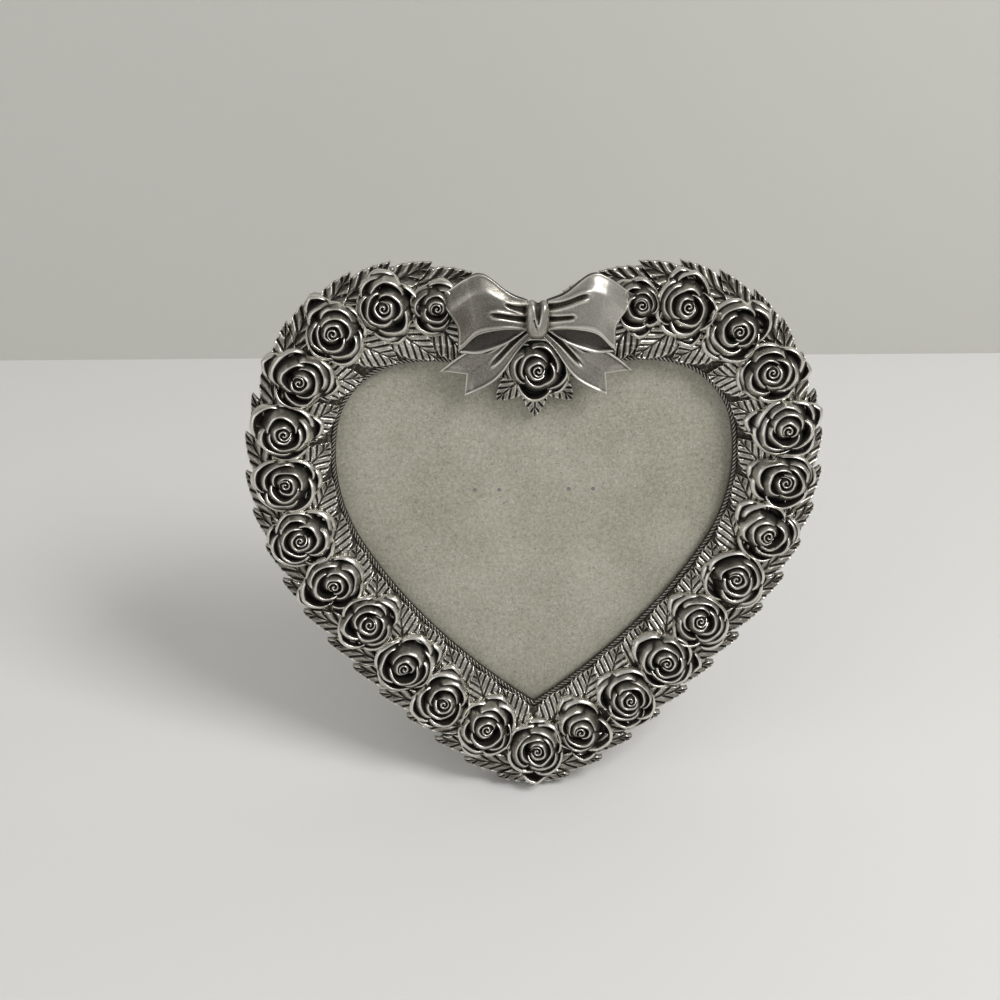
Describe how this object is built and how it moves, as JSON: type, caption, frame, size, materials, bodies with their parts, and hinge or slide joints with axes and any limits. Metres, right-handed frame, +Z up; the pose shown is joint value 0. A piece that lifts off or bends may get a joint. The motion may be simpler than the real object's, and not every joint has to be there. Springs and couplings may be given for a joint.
{
  "type": "heart shaped photo frame",
  "caption": "Heart shaped tabletop photo frame cast with roses, leaves and a bow, with a glazed heart window, velvet back, turn clips and a folding easel leg.",
  "frame": {"origin": "on the table, at the middle of the small flat under the heart's bottom point", "axes": "+X to the viewer's right, +Z up, -Y towards the viewer; the front leans back towards +Y and the leg stands at +Y"},
  "size_m": [0.131, 0.048, 0.1227],
  "materials": {
    "antiqued_pewter": "cast pewter, blackened in the recesses and buffed on the high spots",
    "satin_pewter": "cast pewter, satin brushed",
    "glass": "clear float glass",
    "chipboard": "grey speckled chipboard",
    "velvet": "black velvet",
    "hinge_steel": "plated sheet steel",
    "nickelled_steel": "nickelled steel"
  },
  "bodies": {
    "frame": {"backing_board": "chipboard", "bow_knot": "satin_pewter", "bow_loop_left": "satin_pewter", "bow_loop_right": "satin_pewter", "bow_tail_left": "satin_pewter", "bow_tail_right": "satin_pewter", "cleft_leaves": "antiqued_pewter", "clip_rivets": "nickelled_steel", "glass_pane": "glass", "heart_ring": "antiqued_pewter", "hinge_fixed_leaf": "hinge_steel", "hinge_pin": "hinge_steel", "hinge_staples": "hinge_steel", "inner_leaves_left": "antiqued_pewter", "inner_leaves_right": "antiqued_pewter", "inner_lip": "antiqued_pewter", "outer_leaves_left": "antiqued_pewter", "outer_leaves_right": "antiqued_pewter", "rose_01": "antiqued_pewter", "rose_02": "antiqued_pewter", "rose_03": "antiqued_pewter", "rose_04": "antiqued_pewter", "rose_05": "antiqued_pewter", "rose_06": "antiqued_pewter", "rose_07": "antiqued_pewter", "rose_08": "antiqued_pewter", "rose_09": "antiqued_pewter", "rose_10": "antiqued_pewter", "rose_11": "antiqued_pewter", "rose_12": "antiqued_pewter", "rose_13": "antiqued_pewter", "rose_14": "antiqued_pewter", "rose_15": "antiqued_pewter", "rose_16": "antiqued_pewter", "rose_17": "antiqued_pewter", "rose_18": "antiqued_pewter", "rose_19": "antiqued_pewter", "rose_20": "antiqued_pewter", "rose_21": "antiqued_pewter", "rose_22": "antiqued_pewter", "rose_23": "antiqued_pewter", "rose_24": "antiqued_pewter", "rose_25": "antiqued_pewter", "rose_26": "antiqued_pewter", "tip_leaf": "antiqued_pewter", "velvet_backing": "velvet"},
    "leg": {"easel_leg_board": "chipboard", "easel_leg_velvet": "velvet", "hinge_moving_leaf": "hinge_steel", "leg_rivets": "hinge_steel"},
    "clip_lower_right": {"turn_clip_lower_right": "nickelled_steel"},
    "clip_lower_left": {"turn_clip_lower_left": "nickelled_steel"},
    "clip_upper_right": {"turn_clip_upper_right": "nickelled_steel"},
    "clip_upper_left": {"turn_clip_upper_left": "nickelled_steel"}
  },
  "joints": [
    {"name": "leg_hinge", "type": "hinge", "parent": "frame", "child": "leg", "pos_m": [0, 0.01959, 0.06449], "axis": [1, 0, 0], "range_deg": [-31, 0]},
    {"name": "clip_lower_right_swivel", "type": "hinge", "parent": "frame", "child": "clip_lower_right", "pos_m": [0.03546, 0.01218, 0.04322], "axis": [0, 0.9659, -0.2588], "range_deg": [0, 90]},
    {"name": "clip_lower_left_swivel", "type": "hinge", "parent": "frame", "child": "clip_lower_left", "pos_m": [-0.03546, 0.01218, 0.04322], "axis": [0, -0.9659, 0.2588], "range_deg": [0, 90]},
    {"name": "clip_upper_right_swivel", "type": "hinge", "parent": "frame", "child": "clip_upper_right", "pos_m": [0.02548, 0.02874, 0.10502], "axis": [0, 0.9659, -0.2588], "range_deg": [0, 90]},
    {"name": "clip_upper_left_swivel", "type": "hinge", "parent": "frame", "child": "clip_upper_left", "pos_m": [-0.02548, 0.02874, 0.10502], "axis": [0, -0.9659, 0.2588], "range_deg": [0, 90]}
  ]
}
